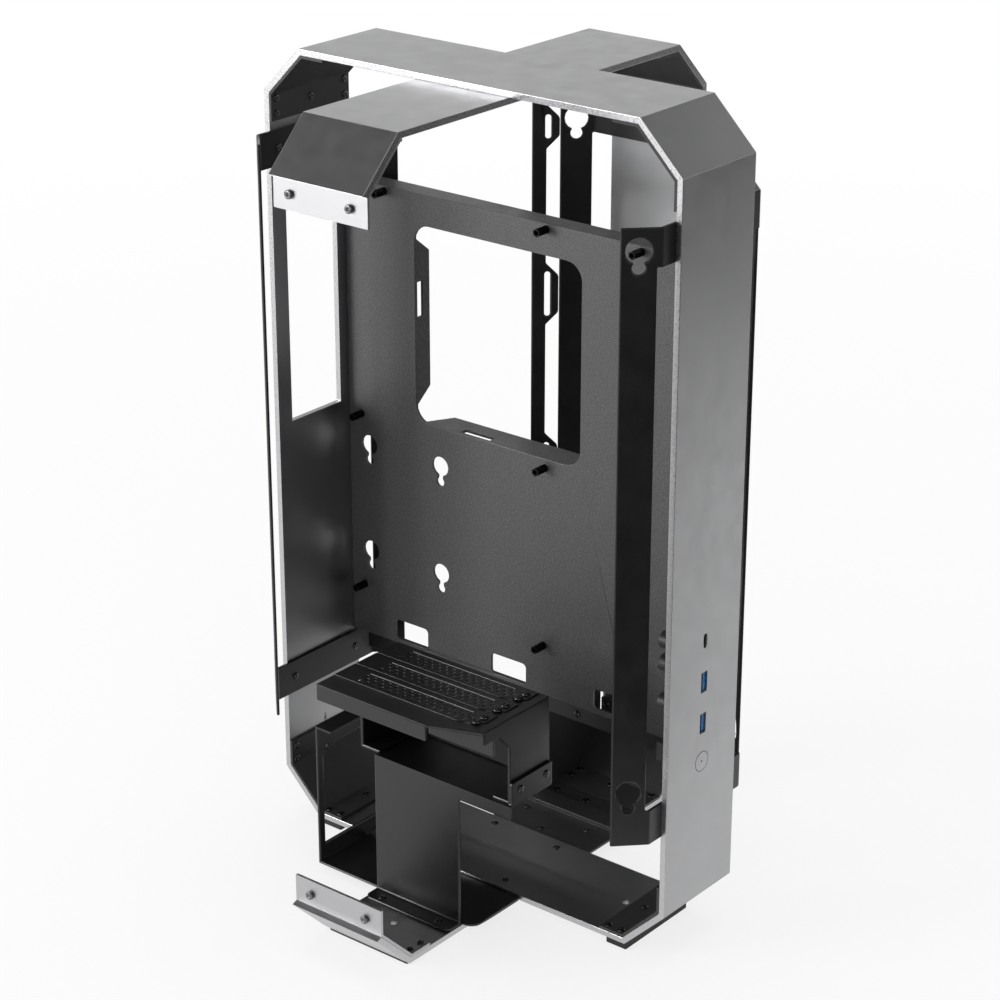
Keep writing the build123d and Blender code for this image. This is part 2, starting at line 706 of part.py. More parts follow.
# Slotted radiator rail at 45 degrees, hung from the cross plate and held to the tray's back
rad_offset = (cross_half + main_half) / 2 * diagonal
rad_middle = loop_height - rad_below_top
rad_high = loop_height - rad_hang
rad_low = rad_high - rad_length
rad_origin = (rad_offset * diagonal, rad_offset * diagonal, deck)
rad_plane = Plane(origin=rad_origin, x_dir=(1, -1, 0), z_dir=(-1, -1, 0))
with BuildPart() as radiator_rail:
    left, right = rad_left, rad_left + rad_width
    ear = right + rad_ear
    levels = [(rad_middle - rad_pitch, rad_ear_short, rad_short), (rad_middle, rad_ear_long, rad_long),
              (rad_middle + rad_pitch, rad_ear_short, rad_short)]
    outline = [(left, rad_low), (right, rad_low)]
    for level, flat, _ in levels:
        outline += [(right, level - flat - rad_ear), (ear, level - flat),
                    (ear, level + flat), (right, level + flat + rad_ear)]
    outline += [(right, rad_high), (left, rad_high)]
    prism(rad_plane, outline, sheet)
    with BuildSketch(rad_plane) as rad_slots:
        for level, _, length in levels:
            with Locations((rad_slot_at, level)):
                RectangleRounded(rad_slot, length, rad_slot * 0.49)
    extrude(rad_slots.sketch, amount=2 * sheet, both=True, mode=Mode.SUBTRACT)
    rail_left = ((rad_offset + left) * diagonal, (rad_offset - left) * diagonal)
    rail_right = ((rad_offset + right) * diagonal, (rad_offset - right) * diagonal)
    shelf_low = deck + rad_high - sheet
    top_arm = [rail_left, rail_right, (rail_right[0], rad_seat), (rail_left[0], rad_seat)]
    prism(Plane.XY.offset(shelf_low), top_arm, sheet)
    block((rail_left[0], rad_seat, shelf_low), (rail_right[0], rad_seat + sheet, cross_high - plate))
    arm_low_z = deck + rad_low
    arm_y = rail_left[1]
    block((tray_back, arm_y - sheet, arm_low_z), (rail_left[0], arm_y, arm_low_z + rad_arm))
    block((tray_back, arm_y - rail_foot, arm_low_z), (tray_back + sheet, arm_y, arm_low_z + rad_arm))
radiator_rail.part.label = "radiator_rail"

# Front ports, their board and its holder
port_front = port_recess - main_half
port_back = port_front + port_depth
shell = (usb_a[0] - gap, usb_a[1] - gap)
board_x = shell[0] / 2
inner_face = -main_inner
board_start = inner_face + collar + button_travel + gap
collar_reach = button_radius + collar_edge + gap
with BuildPart() as usb_a_shells:
    for z in usb_a_heights:
        level = deck + z
        bore = (shell[0] / 2 - port_wall, shell[1] / 2 - port_wall)
        block((-board_x, port_front, level - shell[1] / 2), (board_x, port_back, level + shell[1] / 2))
        block((-bore[0], port_front - plate, level - bore[1]),
              (bore[0], port_back - port_wall, level + bore[1]), Mode.SUBTRACT)
usb_a_shells.part.label = "usb_a_shells"

with BuildPart() as usb_a_tongues:
    for z in usb_a_heights:
        level = deck + z
        block((board_x - tongue[0], port_front + tongue_recess, level - tongue[1] / 2),
              (board_x - port_wall, port_back - port_wall, level + tongue[1] / 2))
usb_a_tongues.part.label = "usb_a_tongues"

with BuildPart() as usb_c_port:
    level = deck + usb_c_height
    with BuildSketch(Plane.XZ.offset(-port_back)) as barrel:
        with Locations((0, level)):
            RectangleRounded(usb_c[0] - gap, usb_c[1] - gap, (usb_c[0] - gap) * 0.49)
    extrude(barrel.sketch, amount=port_depth)
    with BuildSketch(Plane.XZ.offset(-port_front - port_depth / 2)) as mouth:
        with Locations((0, level)):
            RectangleRounded(usb_c[0] - gap - 2 * port_wall, usb_c[1] - gap - 2 * port_wall,
                             (usb_c[0] - gap - 2 * port_wall) * 0.49)
    extrude(mouth.sketch, amount=port_depth, mode=Mode.SUBTRACT)
    block((-port_wall, port_front + port_depth / 2 + 2 * port_wall, level - port_depth / 4),
          (port_wall, port_front + port_recess, level + port_depth / 4))
    block((0, board_start, level - usb_c[1] / 2), (board_x, port_back, level + usb_c[1] / 2))
usb_c_port.part.label = "usb_c_port"

holder_low = deck + button_height - holder_half
holder_high = deck + usb_c_height + holder_half
with BuildPart() as port_board:
    block((board_x, board_start, holder_low + sheet),
          (board_x + board_sheet, inner_face + board_depth, holder_high - sheet))
port_board.part.label = "port_board"

with BuildPart() as port_holder:
    fold_x = board_x + board_sheet
    block((-holder_near, inner_face, holder_low),
          (holder_near - 2 * knob_radius, inner_face + sheet, holder_high))
    block((fold_x, inner_face, holder_low), (fold_x + sheet, inner_face + board_depth, holder_high))
    block((-collar_reach, inner_face, holder_low + sheet),
          (collar_reach, inner_face + sheet + gap, holder_high - sheet), Mode.SUBTRACT)
port_holder.part.label = "port_holder"

with BuildPart() as holder_knobs:
    heads([(knob_radius - holder_near, inner_face + sheet, deck + z) for z in knob_heights],
          (0, 1, 0), knob_radius, knob_height, knob_sides)
holder_knobs.part.label = "holder_knobs"

# Power button and the switch behind it
button_z = deck + button_height
with BuildPart() as power_button:
    disc((0, inner_face, button_z), (0, -1, 0), button_radius, plate)
    disc((0, inner_face, button_z), (0, 1, 0), button_radius + collar_edge, collar)
    disc((0, inner_face + collar, button_z), (0, 1, 0), button_radius * 0.4, button_stem)
    with Locations(Plane(origin=(0, -main_half, button_z), z_dir=(0, -1, 0))):
        Cylinder(button_dimple, 2 * button_dimple, mode=Mode.SUBTRACT)
power_button.part.label = "power_button"

switch_front = inner_face + collar + button_stem + button_travel + gap
with BuildPart() as button_switch:
    block((-button_radius, switch_front, button_z - button_radius),
          (board_x, inner_face + board_depth, button_z + button_radius))
button_switch.part.label = "button_switch"

# Rubber pads
pad_outer = main_half - corner - pad_run
with BuildPart() as pad_rear:
    block((pad_side - main_side, pad_outer - pad_width, 0), (main_side - pad_side, pad_outer, deck))
pad_rear.part.label = "pad_rear"

with BuildPart() as pad_front:
    block((pad_side - main_side, -pad_outer, 0), (main_side - pad_side, pad_width - pad_outer, deck))
pad_front.part.label = "pad_front"

pad_reach = cross_half - corner - pad_run
with BuildPart() as pad_far:
    block((pad_reach - pad_width, pad_side - cross_side, 0), (pad_reach, cross_side - pad_side, pad))
pad_far.part.label = "pad_far"

with BuildPart() as pad_near:
    block((-pad_reach, pad_side - cross_side, 0), (pad_width - pad_reach, cross_side - pad_side, pad))
pad_near.part.label = "pad_near"

# One file for each piece
pieces = [
    main_loop_top, main_loop_bottom, main_rear_leg, main_front_leg, cross_loop_top, cross_loop_bottom,
    cross_far_leg, join_rear_top, join_rear_bottom, join_front_top, join_front_bottom, join_far_top,
    join_far_bottom, join_near_top, join_near_bottom, join_screws, cover_pins, crossing_screws, frame_rear,
    frame_front, frame_far, frame_screws, motherboard_tray, tray_rail, rail_screws, standoffs, slot_box,
    slot_screws, support_panel, support_screws, psu_cage, far_floor, floor_screws, radiator_rail,
    usb_a_shells, usb_a_tongues, usb_c_port, port_board, port_holder, holder_knobs, power_button,
    button_switch, pad_rear, pad_front, pad_far, pad_near,
]
for solid in [piece.part for piece in pieces] + covers:
    export_step(solid, f"parts/{solid.label}.step")
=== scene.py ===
"""Studio scene of an open tower PC case: finishes, fasteners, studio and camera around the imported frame."""

import json
import logging
import math
from dataclasses import dataclass, field
from enum import Enum
from typing import Iterable

import bmesh
import bpy
from mathutils import Matrix, Vector

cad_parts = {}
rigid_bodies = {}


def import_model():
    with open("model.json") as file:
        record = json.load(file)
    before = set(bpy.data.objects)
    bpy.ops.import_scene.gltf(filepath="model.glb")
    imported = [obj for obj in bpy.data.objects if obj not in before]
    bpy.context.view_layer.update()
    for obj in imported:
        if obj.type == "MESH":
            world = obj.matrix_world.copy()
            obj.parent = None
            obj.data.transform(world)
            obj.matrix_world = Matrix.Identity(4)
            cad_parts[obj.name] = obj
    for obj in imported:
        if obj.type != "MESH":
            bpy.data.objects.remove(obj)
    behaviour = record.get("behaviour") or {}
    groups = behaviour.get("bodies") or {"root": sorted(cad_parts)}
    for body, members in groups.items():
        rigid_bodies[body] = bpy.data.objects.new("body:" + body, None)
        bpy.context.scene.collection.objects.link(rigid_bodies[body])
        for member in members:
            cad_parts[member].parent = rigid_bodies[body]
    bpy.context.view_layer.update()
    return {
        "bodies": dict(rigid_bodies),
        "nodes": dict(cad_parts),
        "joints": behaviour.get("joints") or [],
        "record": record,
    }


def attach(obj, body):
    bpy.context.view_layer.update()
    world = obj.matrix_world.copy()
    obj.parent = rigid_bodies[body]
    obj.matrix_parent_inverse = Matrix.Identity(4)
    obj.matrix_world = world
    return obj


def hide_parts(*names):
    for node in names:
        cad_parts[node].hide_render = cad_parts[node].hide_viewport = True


Colour = tuple[float, float, float]
Point = tuple[float, float, float]
Span = tuple[float, float]
Profile = tuple[Span, ...]

LOG = logging.getLogger("tower_case")
CHASSIS = "chassis"
SAME_POINT = 1e-6
SHARP_BEND = math.radians(32)
SQUARE_ON = 0.9
# Where a noise value starts and ends to change a colour or a roughness.
SLOW: Span = (0.3, 0.7)
QUICK: Span = (0.35, 0.65)


class Side(Enum):
    """Which way the heads of a set of screws look."""

    INWARD = "towards the middle of the case"
    OUTWARD = "away from the middle of the case"
    FORWARD = "towards the front"


class Recess(Enum):
    """The drive cut into a screw head, with its number of arms or corners."""

    CROSS = 4
    HEX = 6


def tinted(colour: Colour, factor: float) -> Colour:
    """Returns a colour made lighter or darker by a factor."""
    return tuple(min(1.0, share * factor) for share in colour)


class Shader:
    """A material under construction, with short calls for the nodes that the finishes share."""

    def __init__(self, name: str) -> None:
        """Starts an empty node material with a Principled surface.

        Args:
            name: the material's name.
        """
        self.material = bpy.data.materials.new(name)
        self.material.use_nodes = True
        self.nodes = self.material.node_tree.nodes
        self.links = self.material.node_tree.links
        self.nodes.clear()
        self.output = self.nodes.new("ShaderNodeOutputMaterial")
        self.surface = self.nodes.new("ShaderNodeBsdfPrincipled")
        self.links.new(self.surface.outputs["BSDF"], self.output.inputs["Surface"])
        self.position = self.nodes.new("ShaderNodeTexCoord").outputs["Object"]

    def set(self, **values: object) -> None:
        """Sets sockets of the surface; underscores in a name stand for spaces."""
        for name, value in values.items():
            self.surface.inputs[name.replace("_", " ")].default_value = value

    def noise(self, scale: float, detail: float = 2.0, roughness: float = 0.5) -> bpy.types.NodeSocket:
        """Adds a noise texture.

        Args:
            scale: features per metre.
            detail: octaves.
            roughness: weight of the finer octaves.

        Returns:
            The socket with the noise value.
        """
        node = self.nodes.new("ShaderNodeTexNoise")
        node.inputs["Scale"].default_value = scale
        node.inputs["Detail"].default_value = detail
        node.inputs["Roughness"].default_value = roughness
        self.links.new(self.position, node.inputs["Vector"])
        return node.outputs["Fac"]

    def pebbles(self, scale: float) -> bpy.types.NodeSocket:
        """Adds a cell texture.

        Args:
            scale: cells per metre.

        Returns:
            The socket with the distance from a cell's middle.
        """
        node = self.nodes.new("ShaderNodeTexVoronoi")
        node.inputs["Scale"].default_value = scale
        self.links.new(self.position, node.inputs["Vector"])
        return node.outputs["Distance"]

    def ranged(self, value: bpy.types.NodeSocket, low: float, high: float, start: float = 0.0,
               end: float = 1.0) -> bpy.types.NodeSocket:
        """Maps a value from start..end to low..high and clamps it.

        Args:
            value: the socket to map.
            low: result at start.
            high: result at end.
            start: input at the low result.
            end: input at the high result.

        Returns:
            The mapped socket.
        """
        node = self.nodes.new("ShaderNodeMapRange")
        node.inputs["From Min"].default_value = start
        node.inputs["From Max"].default_value = end
        node.inputs["To Min"].default_value = low
        node.inputs["To Max"].default_value = high
        self.links.new(value, node.inputs["Value"])
        return node.outputs["Result"]

    def between(self, value: bpy.types.NodeSocket, span: Span, first: Colour, second: Colour) -> None:
        """Lets the base colour pass from one to another with a noise value.

        Args:
            value: the noise value.
            span: where the first colour ends and the second begins.
            first: linear RGB.
            second: linear RGB.
        """
        ramp = self.nodes.new("ShaderNodeValToRGB")
        ramp.color_ramp.elements[0].color = (*first, 1.0)
        ramp.color_ramp.elements[1].color = (*second, 1.0)
        self.links.new(self.ranged(value, 0.0, 1.0, *span), ramp.inputs["Fac"])
        self.links.new(ramp.outputs["Color"], self.surface.inputs["Base Color"])

    def rough(self, value: bpy.types.NodeSocket, span: Span, middle: float, wander: Span) -> None:
        """Lets the roughness wander about a middle with a noise value.

        Args:
            value: the noise value.
            span: where the lowest roughness ends and the highest begins.
            middle: the roughness to wander about.
            wander: how far it falls and how far it rises.
        """
        down, up = wander
        wandering = self.ranged(value, middle - down, middle + up, *span)
        self.links.new(wandering, self.surface.inputs["Roughness"])

    def bumped(self, height: bpy.types.NodeSocket, depth: float, strength: float) -> None:
        """Adds relief to the surface.

        Args:
            height: the height map.
            depth: its depth in metres.
            strength: how strongly it tilts the surface.
        """
        bump = self.nodes.new("ShaderNodeBump")
        bump.inputs["Distance"].default_value = depth
        bump.inputs["Strength"].default_value = strength
        self.links.new(height, bump.inputs["Height"])
        self.links.new(bump.outputs["Normal"], self.surface.inputs["Normal"])


@dataclass(frozen=True)
class AnodisedAluminium:
    """Bead-blasted aluminium with a satin anodised skin."""

    name: str = "anodised_aluminium"
    colour: Colour = (0.420, 0.423, 0.430)
    shade: float = 0.93
    roughness: float = 0.35
    wander: Span = (0.03, 0.03)
    clouds: float = 14.0
    haze: float = 90.0
    grain: float = 2600.0
    relief: float = 0.00003
    strength: float = 0.35

    def build(self) -> bpy.types.Material:
        """Builds the finish.

        Returns:
            The material.
        """
        shader = Shader(self.name)
        shader.set(Metallic=1.0)
        clouds = shader.noise(self.clouds, detail=3.0)
        shader.between(clouds, SLOW, tinted(self.colour, self.shade), self.colour)
        shader.rough(shader.noise(self.haze, detail=4.0), SLOW, self.roughness, self.wander)
        shader.bumped(shader.noise(self.grain, roughness=0.6), self.relief, self.strength)
        return shader.material


@dataclass(frozen=True)
class CutAluminium:
    """A milled edge left bright, with a fine even grain."""

    name: str = "cut_aluminium"
    colour: Colour = (0.50, 0.50, 0.51)
    shade: float = 0.94
    roughness: float = 0.30
    wander: Span = (0.05, 0.05)
    grain: float = 1100.0
    relief: float = 0.00001
    strength: float = 0.3

    def build(self) -> bpy.types.Material:
        """Builds the finish.

        Returns:
            The material.
        """
        shader = Shader(self.name)
        shader.set(Metallic=1.0)
        tool = shader.noise(self.grain)
        shader.between(tool, SLOW, tinted(self.colour, self.shade), self.colour)
        shader.rough(tool, SLOW, self.roughness, self.wander)
        shader.bumped(tool, self.relief, self.strength)
        return shader.material


@dataclass(frozen=True)
class PowderCoat:
    """Powder-coated steel: dark paint with a fine pebbled skin."""

    name: str
    colour: Colour = (0.0042, 0.0042, 0.0044)
    lift: float = 1.8
    roughness: float = 0.36
    wander: Span = (0.04, 0.05)
    haze: float = 70.0
    specks: float = 0.8
    speck_span: Span = (0.42, 0.66)
    pebble: float = 1500.0
    relief: float = 0.00006
    strength: float = 0.5
    gloss: float = 0.55

    def build(self) -> bpy.types.Material:
        """Builds the finish.

        Returns:
            The material.
        """
        shader = Shader(self.name)
        shader.set(Specular_IOR_Level=self.gloss)
        specks = shader.noise(self.pebble * self.specks, detail=3.0, roughness=0.65)
        shader.between(specks, self.speck_span, self.colour, tinted(self.colour, self.lift))
        shader.rough(shader.noise(self.haze, detail=3.0), SLOW, self.roughness, self.wander)
        shader.bumped(shader.pebbles(self.pebble), self.relief, self.strength)
        return shader.material


@dataclass(frozen=True)
class PlatedSteel:
    """Plated or blackened steel with faint turning marks."""

    name: str
    colour: Colour
    shade: float = 0.75
    roughness: float = 0.30
    wander: Span = (0.06, 0.06)
    marks: float = 900.0
    relief: float = 0.00002
    strength: float = 0.25

    def build(self) -> bpy.types.Material:
        """Builds the finish.

        Returns:
            The material.
        """
        shader = Shader(self.name)
        shader.set(Metallic=1.0)
        marks = shader.noise(self.marks, detail=3.0, roughness=0.6)
        shader.between(marks, QUICK, tinted(self.colour, self.shade), self.colour)
        shader.rough(marks, QUICK, self.roughness, self.wander)
        shader.bumped(marks, self.relief, self.strength)
        return shader.material


@dataclass(frozen=True)
class MouldedPlastic:
    """Moulded plastic or rubber with a spark-eroded grain."""

    name: str
    colour: Colour
    lift: float = 1.3
    roughness: float = 0.5
    wander: Span = (0.05, 0.05)
    haze: float = 150.0
    grain: float = 1200.0
    relief: float = 0.00005
    strength: float = 0.4

    def build(self) -> bpy.types.Material:
        """Builds the finish.

        Returns:
            The material.
        """
        shader = Shader(self.name)
        grain = shader.noise(self.grain, detail=3.0, roughness=0.6)
        shader.between(grain, QUICK, self.colour, tinted(self.colour, self.lift))
        shader.rough(shader.noise(self.haze), SLOW, self.roughness, self.wander)
        shader.bumped(grain, self.relief, self.strength)
        return shader.material


@dataclass(frozen=True)
class Island:
    """One loose solid of a node: its middle, half sizes and thinnest axis."""

    middle: Vector
    half: Vector
    axis: int


def loose_solids(node: bpy.types.Object) -> list[Island]:
    """Finds the separate solids of a node.

    Args:
        node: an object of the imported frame.

    Returns:
        One island for each solid, in mesh order.
    """
    mesh = bmesh.new()
    mesh.from_mesh(node.data)
    bmesh.ops.remove_doubles(mesh, verts=mesh.verts, dist=SAME_POINT)
    seen: set[int] = set()
    found = []
    mesh.verts.ensure_lookup_table()
    for start in mesh.verts:
        if start.index in seen:
            continue
        group, queue = [], [start]
        seen.add(start.index)
        while queue:
            vert = queue.pop()
            group.append(vert.co.copy())
            for edge in vert.link_edges:
                other = edge.other_vert(vert)
                if other.index not in seen:
                    seen.add(other.index)
                    queue.append(other)
        low = Vector(min(p[k] for p in group) for k in range(3))
        high = Vector(max(p[k] for p in group) for k in range(3))
        half = (high - low) / 2
        found.append(Island((low + high) / 2, half, min(range(3), key=lambda k: half[k])))
    mesh.free()
    return found


def soften(piece: bpy.types.Object, width: float, folded: bool) -> None:
    """Rounds a piece's sharp edges a little, as folded and coated metal is.

    Args:
        piece: the object to soften.
        width: width of the rounding in metres.
        folded: whether the piece is sheet or plate, shaded face by face so that its long faces stay even.
    """
    if "custom_normal" in piece.data.attributes:
        piece.data.attributes.remove(piece.data.attributes["custom_normal"])
    for face in piece.data.polygons:
        face.use_smooth = not folded
    weld = piece.modifiers.new("weld", "WELD")
    weld.merge_threshold = SAME_POINT
    bevel = piece.modifiers.new("soft_edges", "BEVEL")
    bevel.width = width
    bevel.segments = 2
    bevel.limit_method = "ANGLE"
    bevel.angle_limit = SHARP_BEND
    bevel.use_clamp_overlap = not folded
    bevel.harden_normals = not folded


def dress(names: Iterable[str], frame: dict, material: bpy.types.Material, width: float,
          folded: bool = False) -> None:
    """Gives nodes of the frame one finish and soft edges.

    Args:
        names: the nodes.
        material: their finish.
        width: width of the edge rounding in metres; 0 leaves the edges sharp.
        folded: whether they are flat sheet or plate.
    """
    for name in names:
        piece = frame["nodes"][name]
        piece.data.materials.clear()
        piece.data.materials.append(material)
        if width:
            soften(piece, width, folded)
        LOG.info("%s: %s", name, material.name)


def bright_cut(piece: bpy.types.Object, axis: int, material: bpy.types.Material) -> None:
    """Leaves the faces across one axis as bright cut metal.

    Args:
        piece: the plate.
        axis: the axis that the cut faces look along.
        material: the bright finish.
    """
    piece.data.materials.append(material)
    for face in piece.data.polygons:
        if abs(face.normal[axis]) > SQUARE_ON:
            face.material_index = 1


@dataclass
class Screws:
    """Detailed heads that stand for the plain ones of one node.

    The profile gives each ring's radius and height, mouth and pit the recess's radius at its rim and at its
    bottom, and bottom the height of that, all as shares of the head's own. Waist, arm and notch shape a cross
    recess, facet and corner a hexagonal one.
    """

    node: str
    recess: Recess = Recess.CROSS
    side: Side = Side.INWARD
    profile: Profile = ((1.0, 0.0), (1.0, 0.35), (0.94, 0.62), (0.80, 0.82), (0.62, 0.95), (0.52, 1.0))
    mouth: float = 0.46
    pit: float = 0.34
    bottom: float = 0.45
    waist: float = 0.62
    arm: float = 0.38
    notch: float = 0.12
    facet: float = 0.93
    corner: float = 0.07
    segments: int = 20
    turn: float = 0.7
    surface: str = "black_screw"
    middle: Vector = field(default_factory=lambda: Vector((0.0, 0.0, 0.27)))

    def outward(self, island: Island) -> Vector:
        """Finds the direction that a head looks in.

        Args:
            island: the plain head.

        Returns:
            A unit vector along one axis.
        """
        axis = Vector((0.0, 0.0, 0.0))
        axis[island.axis] = 1.0
        if self.side is Side.FORWARD and island.axis == 1:
            return -axis
        inward = axis if (self.middle - island.middle)[island.axis] > 0 else -axis
        return -inward if self.side is Side.OUTWARD else inward

    def head(self, mesh: bmesh.types.BMesh, place: Matrix, radius: float, height: float) -> None:
        """Adds one domed head with its drive recess.

        Args:
            mesh: where the head goes.
            place: puts the head's seat at its place, with Z outwards.
            radius: of the head.
            height: of the head.
        """
        rings = [self._ring(mesh, place, r * radius, h * height) for r, h in self.profile]
        rings.append(self._star(mesh, place, self.mouth * radius, height))
        rings.append(self._star(mesh, place, self.pit * radius, height * self.bottom))
        for low, high in zip(rings, rings[1:]):
            for n in range(self.segments):
                m = (n + 1) % self.segments
                mesh.faces.new((low[n], low[m], high[m], high[n]))
        mesh.faces.new(rings[-1])
        mesh.faces.new(list(reversed(rings[0])))

    def _ring(self, mesh: bmesh.types.BMesh, place: Matrix, radius: float, height: float) -> list:
        """Adds a round of vertices.

        Args:
            mesh: where they go.
            place: puts the head's seat at its place.
            radius: of the round.
            height: above the seat.

        Returns:
            The vertices in order.
        """
        step = 2 * math.pi / self.segments
        points = []
        for n in range(self.segments):
            point = Vector((radius * math.cos(n * step), radius * math.sin(n * step), height))
            points.append(mesh.verts.new(place @ point))
        return points

    def _star(self, mesh: bmesh.types.BMesh, place: Matrix, radius: float, height: float) -> list:
        """Adds the outline of the drive recess.

        Args:
            mesh: where its vertices go.
            place: puts the head's seat at its place.
            radius: of the recess.
            height: above the seat.

        Returns:
            The vertices in order.
        """
        step = 2 * math.pi / self.segments
        points = []
        for n in range(self.segments):
            angle = n * step
            wave = math.cos(angle * self.recess.value)
            if self.recess is Recess.CROSS:
                share = self.waist + self.arm * max(0.0, wave) - self.notch * max(0.0, -wave)
            else:
                share = self.facet + self.corner * wave
            reach = radius * share
            point = Vector((reach * math.cos(angle), reach * math.sin(angle), height))
            points.append(mesh.verts.new(place @ point))
        return points

    def build(self, frame: dict, material: bpy.types.Material) -> None:
        """Builds all heads of the node as one piece, each turned a little further than the one before.

        Args:
            material: the heads' finish.
        """
        mesh = bmesh.new()
        for number, island in enumerate(loose_solids(frame["nodes"][self.node])):
            out = self.outward(island)
            radius = max(island.half)
            height = 2 * island.half[island.axis]
            turn = Matrix.Rotation(self.turn * number, 4, "Z")
            seat = island.middle - out * height / 2
            place = Matrix.Translation(seat) @ out.to_track_quat("Z", "Y").to_matrix().to_4x4() @ turn
            self.head(mesh, place, radius, height)
        bmesh.ops.recalc_face_normals(mesh, faces=mesh.faces)
        data = bpy.data.meshes.new(f"{self.node}_detail")
        mesh.to_mesh(data)
        mesh.free()
        for face in data.polygons:
            face.use_smooth = True
        piece = bpy.data.objects.new(f"{self.node}_detail", data)
        bpy.context.scene.collection.objects.link(piece)
        data.materials.append(material)
        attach(piece, CHASSIS)
        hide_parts(self.node)
        LOG.info("%s: %d faces", piece.name, len(data.polygons))


@dataclass
class Hoops:
    """The two crossed hoops of thick aluminium plate."""

    main: tuple[str, ...] = ("main_loop_top", "main_loop_bottom", "main_rear_leg", "main_front_leg")
    cross: tuple[str, ...] = ("cross_loop_top", "cross_loop_bottom", "cross_far_leg")
    edge: float = 0.0003

    def build(self, frame: dict) -> None:
        """Dresses the plates and their bright edges, which look along X on one hoop and along Y on the other.
        """
        skin = AnodisedAluminium().build()
        cut = CutAluminium().build()
        dress(self.main + self.cross, frame, skin, self.edge, folded=True)
        for axis, names in ((0, self.main), (1, self.cross)):
            for name in names:
                bright_cut(frame["nodes"][name], axis, cut)


@dataclass
class CornerPlates:
    """The folded plates inside the corners, and the pins on the open side."""

    dark: tuple[str, ...] = ("join_rear_top", "join_rear_bottom", "join_front_top", "join_front_bottom",
                             "join_far_top", "join_far_bottom")
    bright: tuple[str, ...] = ("join_near_top", "join_near_bottom")
    pins: str = "cover_pins"
    edge: float = 0.0003
    pin_profile: Profile = ((0.63, 0.0), (0.63, 0.35), (1.0, 0.36), (1.0, 0.86), (0.88, 1.0), (0.60, 1.0))
    pin_bottom: float = 0.5
    coat: PowderCoat = PowderCoat("corner_plate", (0.024, 0.024, 0.025), lift=1.4, roughness=0.42, gloss=0.4)
    skin: AnodisedAluminium = AnodisedAluminium("bright_aluminium", (0.46, 0.46, 0.47), shade=0.95,
                                                roughness=0.42)
    plating: PlatedSteel = PlatedSteel("pin_steel", (0.20, 0.20, 0.205))

    def build(self, frame: dict) -> None:
        """Dresses the plates and builds the pins.
        """
        dress(self.dark, frame, self.coat.build(), self.edge, folded=True)
        dress(self.bright, frame, self.skin.build(), self.edge, folded=True)
        pins = Screws(self.pins, Recess.HEX, Side.OUTWARD, self.pin_profile, bottom=self.pin_bottom,
                      surface="pin_steel")
        pins.build(frame, self.plating.build())


@dataclass
class SteelWork:
    """All folded steel sheets: frames, slot box, panel, cage, floor, rails and holder."""

    sheets: tuple[str, ...] = ("frame_rear", "frame_front", "frame_far", "slot_box", "support_panel",
                               "psu_cage", "radiator_rail", "port_holder", "tray_rail")
    floor: tuple[str, ...] = ("far_floor",)
    covers: tuple[str, ...] = ("slot_cover_1", "slot_cover_2", "slot_cover_3")
    bend: float = 0.0009
    floor_bend: float = 0.0005
    cover_edge: float = 0.00015
    coat: PowderCoat = PowderCoat("black_steel")
    floor_coat: PowderCoat = PowderCoat("floor_steel", (0.018, 0.018, 0.0185), lift=1.5)
    cover_coat: PowderCoat = PowderCoat("cover_steel", (0.0045, 0.0045, 0.0047), lift=1.6, roughness=0.30,
                                        gloss=0.6)

    def build(self, frame: dict) -> None:
        """Dresses the sheets and the slot covers.
        """
        dress(self.sheets, frame, self.coat.build(), self.bend, folded=True)
        dress(self.floor, frame, self.floor_coat.build(), self.floor_bend, folded=True)
        dress(self.covers, frame, self.cover_coat.build(), self.cover_edge, folded=True)


@dataclass
class Tray:
    """The motherboard tray with its stand-offs."""

    sheet: tuple[str, ...] = ("motherboard_tray",)
    standoffs: tuple[str, ...] = ("standoffs",)
    bend: float = 0.0004
    standoff_edge: float = 0.0002
    coat: PowderCoat = PowderCoat("tray_steel", (0.037, 0.037, 0.038), lift=2.3, roughness=0.44,
                                  pebble=1300.0, relief=0.0001, gloss=0.6)
    plating: PlatedSteel = PlatedSteel("standoff_steel", (0.02, 0.02, 0.02), roughness=0.28)

    def build(self, frame: dict) -> None:
        """Dresses the tray and stand-offs.
        """
        dress(self.sheet, frame, self.coat.build(), self.bend, folded=True)
        dress(self.standoffs, frame, self.plating.build(), self.standoff_edge)


@dataclass
class FrontPorts:
    """Ports, the push button and what carries them."""

    shells: tuple[str, ...] = ("usb_a_shells", "usb_c_port")
    tongues: tuple[str, ...] = ("usb_a_tongues",)
    board: tuple[str, ...] = ("port_board",)
    moulded: tuple[str, ...] = ("holder_knobs", "button_switch")
    button: tuple[str, ...] = ("power_button",)
    shell_edge: float = 0.0
    fine_edge: float = 0.0001
    moulded_edge: float = 0.00025
    button_edge: float = 0.0002
    shell_metal: PlatedSteel = PlatedSteel("port_steel", (0.35, 0.35, 0.36))
    tongue_plastic: MouldedPlastic = MouldedPlastic("blue_plastic", (0.006, 0.100, 0.27), roughness=0.35)
    board_lacquer: MouldedPlastic = MouldedPlastic("board", (0.006, 0.010, 0.008), roughness=0.3)
    black_plastic: MouldedPlastic = MouldedPlastic("black_plastic", (0.012, 0.012, 0.012))
    button_skin: AnodisedAluminium = AnodisedAluminium("button_aluminium", (0.46, 0.46, 0.47), shade=0.94,
                                                       roughness=0.38)

    def build(self, frame: dict) -> None:
        """Dresses the ports and the button.
        """
        dress(self.shells, frame, self.shell_metal.build(), self.shell_edge)
        dress(self.tongues, frame, self.tongue_plastic.build(), self.fine_edge)
        dress(self.board, frame, self.board_lacquer.build(), self.fine_edge)
        dress(self.moulded, frame, self.black_plastic.build(), self.moulded_edge)
        dress(self.button, frame, self.button_skin.build(), self.button_edge)


